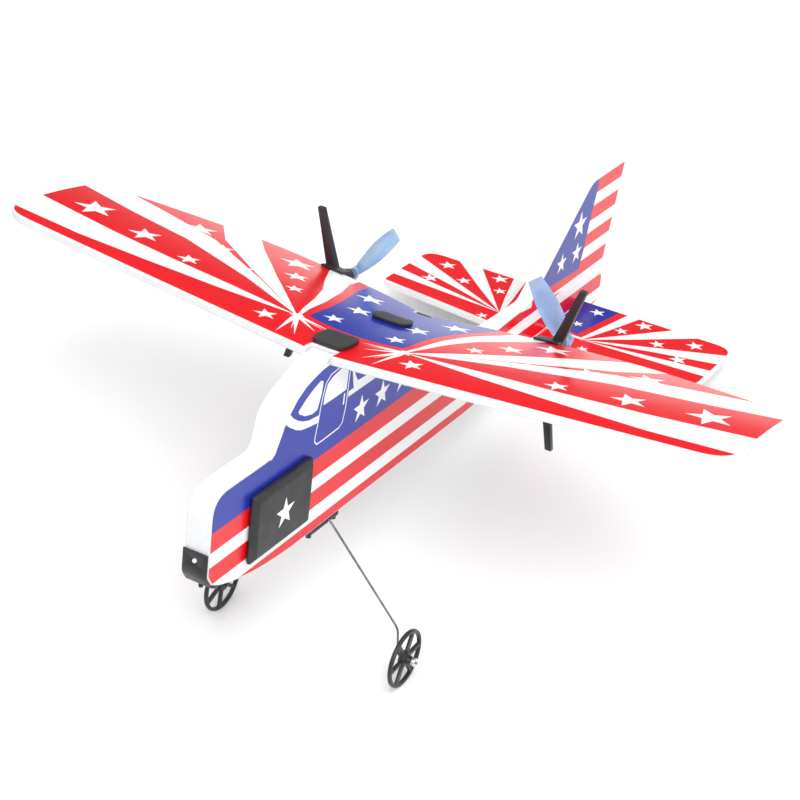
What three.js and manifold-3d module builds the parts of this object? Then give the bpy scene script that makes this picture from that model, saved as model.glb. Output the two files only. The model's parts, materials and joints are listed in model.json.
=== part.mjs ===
// Twin-motor park flyer: a flat foam model aeroplane with two pusher propellers on the wing.
// Millimetres. The airframe is drawn level (nose towards -Y, tail towards +Y, port wing towards +X,
// nose tip at y = 0, belly at z = 0) and then set down on its two wheels and its tail.
import * as THREE from 'three';
import { mergeVertices } from 'three/addons/utils/BufferGeometryUtils.js';
import Module from 'manifold-3d';

const wasm = await Module();
wasm.setup();

// ---------- driving dimensions ----------
const GAP = 0.3; // clearance between touching pieces
const HALF_SPAN = 154.6;
const FOAM_HALF = 5; // half thickness of the fuselage plate at the cabin
const FIN_HALF = 3.3; // half thickness at the fin
const WING_THICK = 3.6;
const TAIL_THICK = 3.3;
const TAIL_TOP = 9.9; // height of the tailplane's upper face above the belly
const HOOD_TOP = 46.8;
const ROOF_TOP = 72.3;
const NOTCH_BACK = 75.8; // end of the roof tongue that stands in the wing's notch
const BOOM_TOP = 30;
const FIN_TOP = 72.5;
const TAIL_END = 327.3;

const HATCH = { front: 23.5, back: 62.3, low: 9.4, high: 36.4, out: 8.8 };
const TRAY = { front: 26, back: 59, low: 11.4, high: 33.8, floor: -4 };
const TRAY_WALL = 1.2;

const MOTOR = { x: 48.8, z: 51.4, radius: 2.5, front: 168.6, back: 180.4 };
const HOUSING_RADIUS = 3.4;
const PROP_Y = 183.3;
const PROP_RADIUS = 28;
const PROP_SHAFT = 0.5;

const AXLE = { y: 86.5, z: -50.1 };
const WIRE_RADIUS = 0.45;
const WHEEL_X = 42.1;
const WHEEL_RADIUS = 12.1;
const KNEE = { x: 39, y: 84, z: -36.5 }; // where each gear leg turns down to its axle

// ---------- materials ----------
const finish = (color, roughness, metalness = 0) =>
  new THREE.MeshStandardMaterial({ color, roughness, metalness });
const foam = finish(0xe9eaec, 0.75);
const blackPlastic = finish(0x2a2b2d, 0.5);
const clearBlue = finish(0x9cc4ea, 0.25);
const steel = finish(0x8b8e92, 0.35, 0.9);
const chrome = finish(0xd8dadd, 0.2, 1);
const cellFoil = finish(0xb9bcc2, 0.4, 0.3);
const boardGreen = finish(0x1d6b3c, 0.5);
const switchGrey = finish(0x55585c, 0.6);
const leadBlack = finish(0x17181a, 0.6);
const lensClear = finish(0xe8eef2, 0.15);

// ---------- solid helpers ----------
function toSolid(geometry) {
  const bare = geometry.clone();
  bare.deleteAttribute('normal');
  bare.deleteAttribute('uv');
  const merged = mergeVertices(bare, 1e-4);
  return new wasm.Manifold(new wasm.Mesh({
    numProp: 3,
    vertProperties: new Float32Array(merged.attributes.position.array),
    triVerts: new Uint32Array(merged.index.array),
  }));
}

function toGeometry(solid) {
  const mesh = solid.getMesh();
  const geometry = new THREE.BufferGeometry();
  geometry.setAttribute('position', new THREE.BufferAttribute(mesh.vertProperties, 3));
  geometry.setIndex(new THREE.BufferAttribute(mesh.triVerts, 1));
  geometry.computeVertexNormals();
  return geometry;
}

const joined = (...solids) => solids.reduce((sum, next) => sum.add(next));
const minus = (solid, ...cuts) => cuts.reduce((rest, cut) => rest.subtract(cut), solid);

function block(x0, x1, y0, y1, z0, z1) {
  const geometry = new THREE.BoxGeometry(x1 - x0, y1 - y0, z1 - z0);
  geometry.translate((x0 + x1) / 2, (y0 + y1) / 2, (z0 + z1) / 2);
  return toSolid(geometry);
}

// a cylinder along one axis of the airframe, from low to high on that axis
function drum(axis, low, high, radius, centre, sides = 24) {
  const geometry = new THREE.CylinderGeometry(radius, radius, high - low, sides);
  if (axis === 'x') geometry.rotateZ(-Math.PI / 2);
  if (axis === 'z') geometry.rotateX(Math.PI / 2);
  const middle = (low + high) / 2;
  if (axis === 'x') geometry.translate(middle, centre[0], centre[1]);
  if (axis === 'y') geometry.translate(centre[0], middle, centre[1]);
  if (axis === 'z') geometry.translate(centre[0], centre[1], middle);
  return toSolid(geometry);
}

// a side-view outline (y, z) given a thickness across the aeroplane
function sidePlate(shape, x0, x1, curveSegments = 10) {
  const geometry = new THREE.ExtrudeGeometry(shape, { depth: x1 - x0, bevelEnabled: false, curveSegments });
  const turn = new THREE.Matrix4().makeBasis(
    new THREE.Vector3(0, 1, 0), new THREE.Vector3(0, 0, 1), new THREE.Vector3(1, 0, 0));
  geometry.applyMatrix4(turn);
  geometry.translate(x0, 0, 0);
  return toSolid(geometry);
}

// a plan-view outline (x, y) given a height
function planPlate(shape, z0, z1, curveSegments = 10) {
  const geometry = new THREE.ExtrudeGeometry(shape, { depth: z1 - z0, bevelEnabled: false, curveSegments });
  geometry.translate(0, 0, z0);
  return toSolid(geometry);
}

// a closed outline through corners [a, b, round]; round is how far the corner is cut back
function cornered(corners) {
  const shape = new THREE.Shape();
  const count = corners.length;
  const at = (i) => new THREE.Vector2(corners[(i + count) % count][0], corners[(i + count) % count][1]);
  for (let i = 0; i < count; i += 1) {
    const corner = at(i);
    const round = corners[i][2] || 0;
    const before = at(i - 1).sub(corner).setLength(round).add(corner);
    const after = at(i + 1).sub(corner).setLength(round).add(corner);
    if (i === 0) shape.moveTo(before.x, before.y);
    else shape.lineTo(before.x, before.y);
    if (round > 0) shape.quadraticCurveTo(corner.x, corner.y, after.x, after.y);
  }
  shape.closePath();
  return shape;
}

// a skin over rings of points, closed at both ends by fans
function loft(rings) {
  const sides = rings[0].length;
  const points = rings.flat();
  const faces = [];
  for (let r = 0; r + 1 < rings.length; r += 1) {
    for (let i = 0; i < sides; i += 1) {
      const a = r * sides + i;
      const b = r * sides + ((i + 1) % sides);
      faces.push(a, b, b + sides, a, b + sides, a + sides);
    }
  }
  const last = (rings.length - 1) * sides;
  for (let i = 1; i + 1 < sides; i += 1) {
    faces.push(0, i + 1, i);
    faces.push(last, last + i, last + i + 1);
  }
  const geometry = new THREE.BufferGeometry().setFromPoints(points);
  geometry.setIndex(faces);
  return toSolid(geometry);
}

// a bar that tapers from one rectangle to another, [width along X, depth along Y] at each end
function taperedBar(from, to, size0, size1, steps = 4) {
  const rings = [];
  for (let s = 0; s <= steps; s += 1) {
    const t = s / steps;
    const centre = new THREE.Vector3(...from).lerp(new THREE.Vector3(...to), t);
    const halfX = THREE.MathUtils.lerp(size0[0], size1[0], t) / 2;
    const halfY = THREE.MathUtils.lerp(size0[1], size1[1], t) / 2;
    const signs = to[2] > from[2] ? [[1, 1], [-1, 1], [-1, -1], [1, -1]] : [[1, 1], [1, -1], [-1, -1], [-1, 1]];
    rings.push(signs.map(([sx, sy]) => new THREE.Vector3(centre.x + sx * halfX, centre.y + sy * halfY, centre.z)));
  }
  return loft(rings);
}

// a round wire along straight runs joined by bends of the given radius
function wire(points, radius, bend, halfSides = 5, steps = 60) {
  const path = new THREE.CurvePath();
  let start = points[0];
  for (let i = 1; i + 1 < points.length; i += 1) {
    const before = points[i - 1].clone().sub(points[i]).setLength(bend).add(points[i]);
    const after = points[i + 1].clone().sub(points[i]).setLength(bend).add(points[i]);
    path.add(new THREE.LineCurve3(start, before));
    path.add(new THREE.QuadraticBezierCurve3(before, points[i], after));
    start = after;
  }
  path.add(new THREE.LineCurve3(start, points[points.length - 1]));
  const section = new THREE.Shape();
  section.absarc(0, 0, radius, 0, Math.PI * 2);
  return toSolid(new THREE.ExtrudeGeometry(section, {
    extrudePath: path, steps, bevelEnabled: false, curveSegments: halfSides,
  }));
}

// ---------- the wing's surface ----------
// height of the wing's upper face: cambered front to back, rising gently to the tips
const WING = { front: 72, height: 73.5, slope: 0.08, camber: 0.0013, rise: 0.062, twist: 0.0004, middle: 115 };
const CENTRE_BLEND = 8; // how far from the middle the rise starts

function wingTop(x, y) {
  const back = y - WING.front;
  const chord = WING.height - WING.slope * back - WING.camber * back * back;
  const out = Math.hypot(x, CENTRE_BLEND) - CENTRE_BLEND;
  return chord + out * (WING.rise + WING.twist * (y - WING.middle));
}

// a sheet that follows the wing's upper face, between two heights above it
function wingSheet(x0, x1, y0, y1, low, high, across, along) {
  const points = [];
  const faces = [];
  const row = along + 1;
  for (const lift of [low, high]) {
    for (let i = 0; i <= across; i += 1) {
      const x = x0 + ((x1 - x0) * i) / across;
      for (let j = 0; j <= along; j += 1) {
        const y = y0 + ((y1 - y0) * j) / along;
        points.push(new THREE.Vector3(x, y, wingTop(x, y) + lift));
      }
    }
  }
  const upper = (across + 1) * row;
  const quad = (a, b, c, d) => faces.push(a, b, c, a, c, d);
  for (let i = 0; i < across; i += 1) {
    for (let j = 0; j < along; j += 1) {
      const a = i * row + j;
      quad(a, a + 1, a + row + 1, a + row);
      quad(upper + a, upper + a + row, upper + a + row + 1, upper + a + 1);
    }
    const near = i * row;
    const far = i * row + along;
    quad(near, near + row, upper + near + row, upper + near);
    quad(far + row, far, upper + far, upper + far + row);
  }
  for (let j = 0; j < along; j += 1) {
    const left = j;
    const right = across * row + j;
    quad(left + 1, left, upper + left, upper + left + 1);
    quad(right, right + 1, upper + right + 1, upper + right);
  }
  const geometry = new THREE.BufferGeometry().setFromPoints(points);
  geometry.setIndex(faces);
  return toSolid(geometry);
}

// ---------- foam airframe ----------
function fuselageOutline() {
  const shape = new THREE.Shape();
  shape.moveTo(0, 24.4);
  shape.lineTo(0, 37.5);
  shape.quadraticCurveTo(0, HOOD_TOP, 9.8, HOOD_TOP);
  shape.lineTo(32.8, HOOD_TOP);
  shape.quadraticCurveTo(36.9, HOOD_TOP, 37.8, 50.6);
  shape.lineTo(39, 55.8);
  shape.quadraticCurveTo(40.4, 61.6, 46.6, 64.7);
  shape.quadraticCurveTo(56, 69.6, 67, ROOF_TOP - 0.8);
  shape.quadraticCurveTo(71.4, ROOF_TOP, NOTCH_BACK, ROOF_TOP);
  // the seat under the wing
  const seatBack = 151;
  const seatSteps = 10;
  for (let i = 0; i <= seatSteps; i += 1) {
    const y = NOTCH_BACK + ((seatBack - NOTCH_BACK) * i) / seatSteps;
    shape.lineTo(y, wingTop(0, y) - WING_THICK - GAP);
  }
  shape.quadraticCurveTo(178, 42, 196, 34.5);
  shape.quadraticCurveTo(206, BOOM_TOP, 218, BOOM_TOP);
  shape.lineTo(245.5, BOOM_TOP);
  shape.quadraticCurveTo(248.6, BOOM_TOP, 251, 32.2);
  shape.lineTo(294.5, 68.6);
  shape.quadraticCurveTo(298.5, 71.9, 303, FIN_TOP - 0.4);
  shape.lineTo(332, FIN_TOP);
  shape.quadraticCurveTo(333.6, FIN_TOP, 333.4, FIN_TOP - 1.6);
  shape.lineTo(324, 20);
  shape.lineTo(TAIL_END, 16.5);
  shape.lineTo(TAIL_END, 7);
  shape.quadraticCurveTo(TAIL_END, 3.8, 323, 3.6);
  shape.quadraticCurveTo(270, 2.4, 228, 0);
  shape.lineTo(62, 0);
  shape.quadraticCurveTo(30, 0, 8, 7.8);
  shape.lineTo(3, 10.3);
  shape.lineTo(0, 14.8);
  shape.closePath();
  return shape;
}

// plan view of the plate: full thickness at the cabin, thinner from the boom to the fin
const plateTaper = cornered([
  [FOAM_HALF, -5], [FOAM_HALF, 185, 20], [FIN_HALF, 245, 20], [FIN_HALF, 340],
  [-FIN_HALF, 340], [-FIN_HALF, 245, 20], [-FOAM_HALF, 185, 20], [-FOAM_HALF, -5],
]);

const CLIP_STEM = { halfX: 1.5, front: 79, back: 87 }; // front clip's tongue
const REAR_STEM = { halfX: 1.5, front: 123.5, back: 130.5 };
const STEM_DEPTH = 12;

function stemHole(stem) {
  return block(-stem.halfX - GAP, stem.halfX + GAP, stem.front - GAP, stem.back + GAP, 40, 90);
}

const tailSlot = block(-20, 20, 255.6, 310, TAIL_TOP - TAIL_THICK - GAP, TAIL_TOP + GAP);
const trayPocket = block(TRAY.floor - GAP, FOAM_HALF + 1, TRAY.front - GAP, TRAY.back + GAP,
  TRAY.low - GAP, TRAY.high + GAP);
const GEAR_SCREWS = [74.4, 88];
const gearBarBox = [-4.7, 4.7, 70, 90.6, -2];
const GEAR_PEG = { x: 3.3, low: -3.5, radius: 1.1, places: [71.4, 89.2] };
const CROSS_WIRE = { y: 84, z: -0.9 }; // where the wire passes through the bar
const LAMP = { z: 20.6, radius: 0.8 };

function stemPocket(stem) {
  const top = wingTop(0, stem.back) - WING_THICK;
  return block(-stem.halfX - GAP, stem.halfX + GAP, stem.front - GAP, stem.back + GAP,
    top - STEM_DEPTH - GAP, 90);
}

// a clip's tongue: from inside the foam up into the clip's head
function clipStem(stem) {
  const foot = wingTop(0, stem.back) - WING_THICK - STEM_DEPTH;
  return block(-stem.halfX, stem.halfX, stem.front, stem.back, foot, 90)
    .intersect(wingSheet(-8, 8, stem.front - 2, stem.back + 2, -30, 1, 4, 6));
}

const fuselage = minus(
  sidePlate(fuselageOutline(), -FOAM_HALF, FOAM_HALF).intersect(planPlate(plateTaper, -10, 90)),
  tailSlot, trayPocket, stemPocket(CLIP_STEM), stemPocket(REAR_STEM),
  drum('y', -1, 3, LAMP.radius + GAP, [0, LAMP.z], 16),
  ...GEAR_SCREWS.map((y) => drum('z', -1, 9, 1 + GAP, [0, y], 12)),
);

function wingPlan() {
  const shape = new THREE.Shape();
  const half = [
    ['line', 142, 82.8], ['curve', HALF_SPAN, 83.9, HALF_SPAN, 96.4], ['line', HALF_SPAN, 138.5],
    ['curve', 149, 146.5, 139.5, 151.5], ['line', 103, 161.3], ['curve', 86, 165.8, 68, 166.4],
    ['curve', 38, 166.6, 12, 158.8], ['curve', 4, 156.4, 0, 151.5],
  ];
  shape.moveTo(0, 70);
  for (const [kind, ...p] of half) {
    if (kind === 'line') shape.lineTo(...p);
    else shape.quadraticCurveTo(...p);
  }
  const back = half.slice().reverse();
  back.forEach(([kind, ...p], i) => {
    const to = i + 1 < back.length ? back[i + 1].slice(-2) : [0, 70];
    if (kind === 'line') shape.lineTo(-to[0], to[1]);
    else shape.quadraticCurveTo(-p[0], p[1], -to[0], to[1]);
  });
  return shape;
}

const HOOK = { halfX: 3.3, front: 151.8, back: 153.4, low: 55.5, high: 58.5 };
const hookNotch = block(-HOOK.halfX - GAP, HOOK.halfX + GAP, HOOK.front - GAP, 170, 40, 90);
const wingNotch = block(-FOAM_HALF - GAP, FOAM_HALF + GAP, 60, NOTCH_BACK + GAP, 40, 90);
const mainWing = minus(
  wingSheet(-HALF_SPAN - 1, HALF_SPAN + 1, 66, 170, -WING_THICK, 0, 44, 10)
    .intersect(planPlate(wingPlan(), 20, 120)),
  wingNotch, hookNotch, stemHole(CLIP_STEM), stemHole(REAR_STEM),
);

const TAIL_HALF = 78.8;
const tailPlan = cornered([
  [0, 256.5], [TAIL_HALF - 1.5, 265.6, 2], [TAIL_HALF, 270, 2], [TAIL_HALF, 309, 9], [0, 309],
  [-TAIL_HALF, 309, 9], [-TAIL_HALF, 270, 2], [1.5 - TAIL_HALF, 265.6, 2],
]);
const tailplane = planPlate(tailPlan, TAIL_TOP - TAIL_THICK, TAIL_TOP);

// ---------- nose bumper with its lamp ----------
const bumperOutline = cornered([
  [-0.9, 24.1, 0.4], [-0.9, 14.5, 2], [2.35, 9.6, 1.2], [6.9, 7.3, 0.3], [7.2, 7.87],
  [2.78, 10.08], [-GAP, 14.7], [-GAP, 24.1],
]);
const bumper = minus(
  joined(sidePlate(bumperOutline, -5.1, 5.1), drum('z', 7.5, 8.6, 0.9, [0, 4.2], 16)),
  drum('y', -2, 4, LAMP.radius + GAP, [0, LAMP.z], 16),
);
const lamp = drum('y', -1.4, 2.6, LAMP.radius, [0, LAMP.z], 16);

// ---------- wing clips ----------
const frontClipPlan = cornered([
  [-7.4, 76.7, 4.5], [7.4, 76.7, 4.5], [6.8, 90.4, 2.5], [-6.8, 90.4, 2.5],
]);
const frontClip = joined(
  wingSheet(-10, 10, 75, 92, GAP, 1.9, 8, 8).intersect(planPlate(frontClipPlan, 40, 90)),
  clipStem(CLIP_STEM),
);
const rearClipPlan = cornered([
  [-8.6, 125.6, 2], [-6, 121.8, 1.5], [6, 121.8, 1.5], [8.6, 125.6, 2], [6.6, 131.6, 1.5], [-6.6, 131.6, 1.5],
]);
const rearClip = joined(
  wingSheet(-10, 10, 120, 134, GAP, 1.5, 8, 6).intersect(planPlate(rearClipPlan, 40, 90)),
  clipStem(REAR_STEM),
);
// a small stop behind the wing's trailing edge on the centre line
const hook = block(-HOOK.halfX, HOOK.halfX, HOOK.front, HOOK.back, HOOK.low, HOOK.high);

// ---------- hatch, battery and electronics ----------
const TRAY_MOUTH = FOAM_HALF + GAP;
const HINGE = { x: 6.4, y: 24.8, radius: 0.4, heights: [[0.16, 0.3], [0.7, 0.84]] };
const hingeHeight = (part) => HATCH.low + (HATCH.high - HATCH.low) * part;
// one of the tray's two hooks: a post on the front wall, an arm and a round head
const trayHook = ([from, to]) => joined(
  drum('z', hingeHeight(from), hingeHeight(to), HINGE.radius, [HINGE.x, HINGE.y], 16),
  block(HINGE.x - HINGE.radius, HINGE.x + 0.3, HINGE.y, TRAY.front + 0.9, hingeHeight(from), hingeHeight(to)),
  block(FOAM_HALF - 0.6, HINGE.x + 0.3, TRAY.front + 0.1, TRAY.front + 0.9, hingeHeight(from), hingeHeight(to)),
);
const tray = joined(
  minus(
    block(TRAY.floor, FOAM_HALF, TRAY.front, TRAY.back, TRAY.low, TRAY.high),
    block(TRAY.floor + TRAY_WALL, FOAM_HALF + 1, TRAY.front + TRAY_WALL, TRAY.back - TRAY_WALL,
      TRAY.low + TRAY_WALL, TRAY.high - TRAY_WALL),
  ),
  ...HINGE.heights.map(trayHook),
);
// rings of the hatch: [distance out, inset of the front edge, inset of the other edges]
const HATCH_RINGS = [[TRAY_MOUTH, 1, 0], [HINGE.x - 0.1, 0, 0], [FOAM_HALF + 2.2, 0.35, 0], [HATCH.out, 2, 2]];
function hatchSolid() {
  const ring = ([x, front, inset]) => [
    new THREE.Vector3(x, HATCH.front + front, HATCH.low + inset),
    new THREE.Vector3(x, HATCH.back - inset, HATCH.low + inset),
    new THREE.Vector3(x, HATCH.back - inset, HATCH.high - inset),
    new THREE.Vector3(x, HATCH.front + front, HATCH.high - inset),
  ];
  return loft(HATCH_RINGS.map(ring));
}
const hookPocket = ([from, to]) => block(FOAM_HALF, HINGE.x + HINGE.radius + GAP, HINGE.y - 0.7,
  TRAY.front + 1.3, hingeHeight(from) - GAP, hingeHeight(to) + GAP);
const hatch = minus(hatchSolid(), ...HINGE.heights.map(hookPocket));

const CELL = { x0: -2.4, x1: 3.6, y0: 27.8, y1: 49.5, z0: 13, z1: 32.2 };
const cell = planPlate(cornered([
  [CELL.x0, CELL.y0, 1.4], [CELL.x1, CELL.y0, 1.4], [CELL.x1, CELL.y1, 1.4], [CELL.x0, CELL.y1, 1.4],
]), CELL.z0, CELL.z1, 4);
const board = block(-2.4, -1.2, 50.3, 57.4, 13.2, 32);
const chip = block(-0.9, 0.3, 51.2, 55.6, 26.4, 30.8);
const socket = minus(
  block(-0.9, 3.4, 51, 57, 13.6, 18.6),
  block(1.6, 4, 52.1, 55.9, 14.7, 17.5),
);
const switchBody = minus(
  block(-0.9, 2.2, 51, 57, 20.2, 24.8),
  block(0.4, 3, 52.1, 55.9, 21.5, 23.5),
);
const switchKnob = block(0.7, 3.6, 52.4, 53.9, 21.8, 23.2);

// ---------- motors and propellers ----------
const trailingEdge = 165.9; // the wing's trailing edge where the motor mount grips it
const FOOT = { inner: 43.4, outer: 53.6, front: 162.4, back: 170.4, under: 154 };

function motorMount() {
  const top = wingSheet(FOOT.inner, FOOT.outer, FOOT.front, FOOT.back, GAP, 1.2, 4, 4);
  const underside = wingSheet(FOOT.inner + 2, FOOT.outer, FOOT.under, FOOT.back,
    -WING_THICK - 1.8, -WING_THICK - GAP, 4, 4);
  const web = wingSheet(FOOT.inner + 2, FOOT.outer, trailingEdge + 0.7, FOOT.back, -WING_THICK - 1, 1, 4, 2);
  const barrel = drum('y', trailingEdge + 0.7, MOTOR.back - 3.4, HOUSING_RADIUS, [MOTOR.x, MOTOR.z]);
  const bore = drum('y', MOTOR.front - GAP, MOTOR.back + 1, MOTOR.radius + GAP, [MOTOR.x, MOTOR.z]);
  const upperGuard = taperedBar([50.8, 168.6, 56], [59, 168.4, 82], [4.6, 3.2], [2.8, 2.2]);
  const lowerGuard = taperedBar([51, 158, 56], [60.5, 153.7, 19.6], [3.8, 3], [2.6, 2.2]);
  return minus(joined(top, underside, web, barrel, upperGuard, lowerGuard), bore);
}

const motorCan = joined(
  drum('y', MOTOR.front, MOTOR.back, MOTOR.radius, [MOTOR.x, MOTOR.z]),
);
const canBore = drum('y', MOTOR.back - 3, MOTOR.back + 1, PROP_SHAFT + GAP, [MOTOR.x, MOTOR.z], 12);
const shaft = drum('y', MOTOR.back - 2.6, PROP_Y + 3.4, PROP_SHAFT, [MOTOR.x, MOTOR.z], 12);

// one twisted blade, lofted outwards from the hub along the given angle from straight up
const BLADE = { stations: 8, root: 1.4, widest: 11, tip: 5, pitchRoot: 42, pitchTip: 16, thick: 1 };
function blade(angle) {
  const radial = new THREE.Vector3(Math.sin(angle), 0, Math.cos(angle));
  const sideways = new THREE.Vector3(Math.cos(angle), 0, -Math.sin(angle));
  const backwards = new THREE.Vector3(0, 1, 0);
  const rings = [];
  for (let s = 0; s <= BLADE.stations; s += 1) {
    const t = s / BLADE.stations;
    const reach = THREE.MathUtils.lerp(BLADE.root, PROP_RADIUS, t);
    const swell = Math.sin(Math.PI * Math.min(1, 0.18 + 0.75 * t));
    const chord = THREE.MathUtils.lerp(3.4, BLADE.tip, t) + (BLADE.widest - BLADE.tip) * swell * 0.8;
    const pitch = THREE.MathUtils.degToRad(THREE.MathUtils.lerp(BLADE.pitchRoot, BLADE.pitchTip, t));
    const halfThick = THREE.MathUtils.lerp(BLADE.thick, BLADE.thick * 0.5, t) / 2;
    const along = sideways.clone().multiplyScalar(Math.cos(pitch)).addScaledVector(backwards, Math.sin(pitch));
    const across = new THREE.Vector3().crossVectors(radial, along).normalize();
    const section = [[-0.5, 0], [-0.2, -1], [0.2, -1], [0.5, 0], [0.2, 1], [-0.2, 1]];
    rings.push(section.map(([c, h]) => new THREE.Vector3(MOTOR.x, PROP_Y, MOTOR.z)
      .addScaledVector(radial, reach)
      .addScaledVector(along, c * chord)
      .addScaledVector(across, h * halfThick)));
  }
  return loft(rings);
}

const REST_ANGLE = THREE.MathUtils.degToRad(-38); // the upper blade leans towards the fuselage
const HUB = { radius: 2.1, front: PROP_Y - 2, back: PROP_Y + 2 };
const propeller = minus(
  joined(
    drum('y', HUB.front, HUB.back, HUB.radius, [MOTOR.x, MOTOR.z]),
    blade(REST_ANGLE),
    blade(REST_ANGLE + Math.PI),
  ),
  drum('y', HUB.front - 5, HUB.back + 5, PROP_SHAFT + GAP, [MOTOR.x, MOTOR.z], 12),
);
const capProfile = [[0, 0], [1.7, 0], [1.7, 1.2], [1.3, 2.1], [0.6, 2.6], [0, 2.7]]
  .map(([r, h]) => new THREE.Vector2(r, h));
const capGeometry = new THREE.LatheGeometry(capProfile, 20);
capGeometry.translate(0, HUB.back + GAP, 0);
capGeometry.translate(MOTOR.x, 0, MOTOR.z);
const hubCap = minus(
  toSolid(capGeometry),
  drum('y', HUB.back - 1, PROP_Y + 3.6, PROP_SHAFT + GAP, [MOTOR.x, MOTOR.z], 12),
);

// the two leads of each motor, laid under the wing from the cabin to the mount
function motorLead() {
  const under = (x, y) => new THREE.Vector3(x, y, wingTop(x, y) - WING_THICK - 1);
  const path = [under(FOAM_HALF + 0.9, 118), under(20, 136), under(34, 149), under(FOOT.inner - 0.8, 155)];
  return wire(path, 0.6, 3, 4, 24);
}

// ---------- landing gear ----------
const wireSlot = (x0, x1, low) => block(x0, x1, CROSS_WIRE.y - WIRE_RADIUS - GAP,
  CROSS_WIRE.y + WIRE_RADIUS + GAP, low, 1);
const gearBar = minus(
  joined(
    block(...gearBarBox, -GAP),
    ...GEAR_SCREWS.map((y) => drum('z', -3, -GAP, 2, [0, y], 16)),
    ...GEAR_PEG.places.flatMap((y) => [-GEAR_PEG.x, GEAR_PEG.x].map(
      (x) => drum('z', GEAR_PEG.low, -GAP, GEAR_PEG.radius, [x, y], 14))),
  ),
  wireSlot(-5, 5, CROSS_WIRE.z - WIRE_RADIUS - GAP),
  wireSlot(-5, -1.8, -4),
  wireSlot(1.8, 5, -4),
  ...GEAR_SCREWS.map((y) => drum('z', -4, 1, 0.7 + GAP, [0, y], 12)),
);
const gearScrew = (y) => joined(
  drum('z', -4.3, -3.5, 1.7, [0, y], 16),
  drum('z', -3.7, 8.4, 0.7, [0, y], 12),
);

function gearWire() {
  const top = new THREE.Vector3(4.4, CROSS_WIRE.y, CROSS_WIRE.z);
  const leg = [
    top,
    new THREE.Vector3(KNEE.x, KNEE.y, KNEE.z),
    new THREE.Vector3(KNEE.x, AXLE.y, AXLE.z),
    new THREE.Vector3(WHEEL_X + 5.6, AXLE.y, AXLE.z),
  ];
  const other = leg.map((p) => new THREE.Vector3(-p.x, p.y, p.z)).reverse();
  return wire([...other, ...leg], WIRE_RADIUS, 2.2, 5, 150);
}

const SPOKES = 6;
// a spoked wheel on the port axle, its first spoke leaning back by the given number of degrees
function wheel(lean) {
  const tread = [[-1.5, -0.7], [-0.5, -0.85], [-0.15, -0.6], [0, 0], [-0.15, 0.6], [-0.5, 0.85], [-1.5, 0.7]];
  const profile = tread.map(([r, h]) => new THREE.Vector2(WHEEL_RADIUS + r, h));
  profile.push(profile[0].clone());
  const rimGeometry = new THREE.LatheGeometry(profile, 48);
  rimGeometry.rotateZ(-Math.PI / 2);
  rimGeometry.translate(WHEEL_X, AXLE.y, AXLE.z);
  const hubBody = drum('x', WHEEL_X - 1.4, WHEEL_X + 1.2, 3, [AXLE.y, AXLE.z]);
  const sleeve = drum('x', WHEEL_X - 1.7, WHEEL_X + 2.9, 1.8, [AXLE.y, AXLE.z]);
  const spokes = [];
  for (let i = 0; i < SPOKES; i += 1) {
    const spoke = new THREE.BoxGeometry(1.3, 1.5, 8.4);
    spoke.translate(0, 0, 6.8);
    spoke.rotateX(THREE.MathUtils.degToRad((360 * i) / SPOKES - lean));
    spoke.translate(WHEEL_X, AXLE.y, AXLE.z);
    spokes.push(toSolid(spoke));
  }
  return minus(
    joined(toSolid(rimGeometry), hubBody, sleeve, ...spokes),
    drum('x', WHEEL_X - 4, WHEEL_X + 5, WIRE_RADIUS + GAP, [AXLE.y, AXLE.z], 16),
  );
}
const collar = minus(
  drum('x', WHEEL_X + 3.3, WHEEL_X + 4.9, 1.7, [AXLE.y, AXLE.z], 20),
  drum('x', WHEEL_X + 2, WHEEL_X + 7, WIRE_RADIUS + GAP, [AXLE.y, AXLE.z], 16),
);

// ---------- assembly ----------
const airframe = new THREE.Group();

function placeGeometry(name, geometry, material) {
  const mesh = new THREE.Mesh(geometry, material);
  mesh.name = name;
  airframe.add(mesh);
}

const place = (name, solid, material) => placeGeometry(name, toGeometry(solid), material);

// the mirror image across the plane of symmetry, with its triangles turned right side out again
function mirrored(geometry) {
  const image = geometry.clone().scale(-1, 1, 1);
  const order = image.index.array;
  for (let i = 0; i < order.length; i += 3) [order[i], order[i + 1]] = [order[i + 1], order[i]];
  image.computeVertexNormals();
  return image;
}

// the same piece on both sides: as drawn to port, mirrored to starboard
function placePair(name, solid, material) {
  const geometry = toGeometry(solid);
  placeGeometry(`${name}_port`, geometry, material);
  placeGeometry(`${name}_starboard`, mirrored(geometry), material);
}

place('fuselage_plate', fuselage, foam);
place('main_wing', mainWing, foam);
place('tailplane', tailplane, foam);
place('nose_bumper', bumper, blackPlastic);
place('nose_lamp', lamp, lensClear);
place('wing_clip_front', frontClip, blackPlastic);
place('wing_clip_rear', rearClip, blackPlastic);
place('wing_hook', hook, blackPlastic);
place('battery_tray', tray, blackPlastic);
place('battery_hatch', hatch, blackPlastic);
place('battery_cell', cell, cellFoil);
place('receiver_board', board, boardGreen);
place('receiver_chip', chip, leadBlack);
place('charge_socket', socket, finish(0xf0f0ee, 0.5));
place('switch_body', switchBody, switchGrey);
place('switch_slider', switchKnob, blackPlastic);
placePair('motor_mount', motorMount(), blackPlastic);
placePair('motor_can', minus(motorCan, canBore), steel);
placePair('motor_shaft', shaft, steel);
placePair('propeller', propeller, clearBlue);
placePair('propeller_cap', hubCap, clearBlue);
placePair('motor_lead', motorLead(), leadBlack);
place('gear_bar', gearBar, blackPlastic);
place('gear_screw_front', gearScrew(GEAR_SCREWS[0]), steel);
place('gear_screw_rear', gearScrew(GEAR_SCREWS[1]), steel);
place('gear_wire', gearWire(), steel);
place('wheel_port', wheel(25), blackPlastic);
placeGeometry('wheel_starboard', mirrored(toGeometry(wheel(5))), blackPlastic);
placePair('wheel_collar', collar, chrome);

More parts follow.
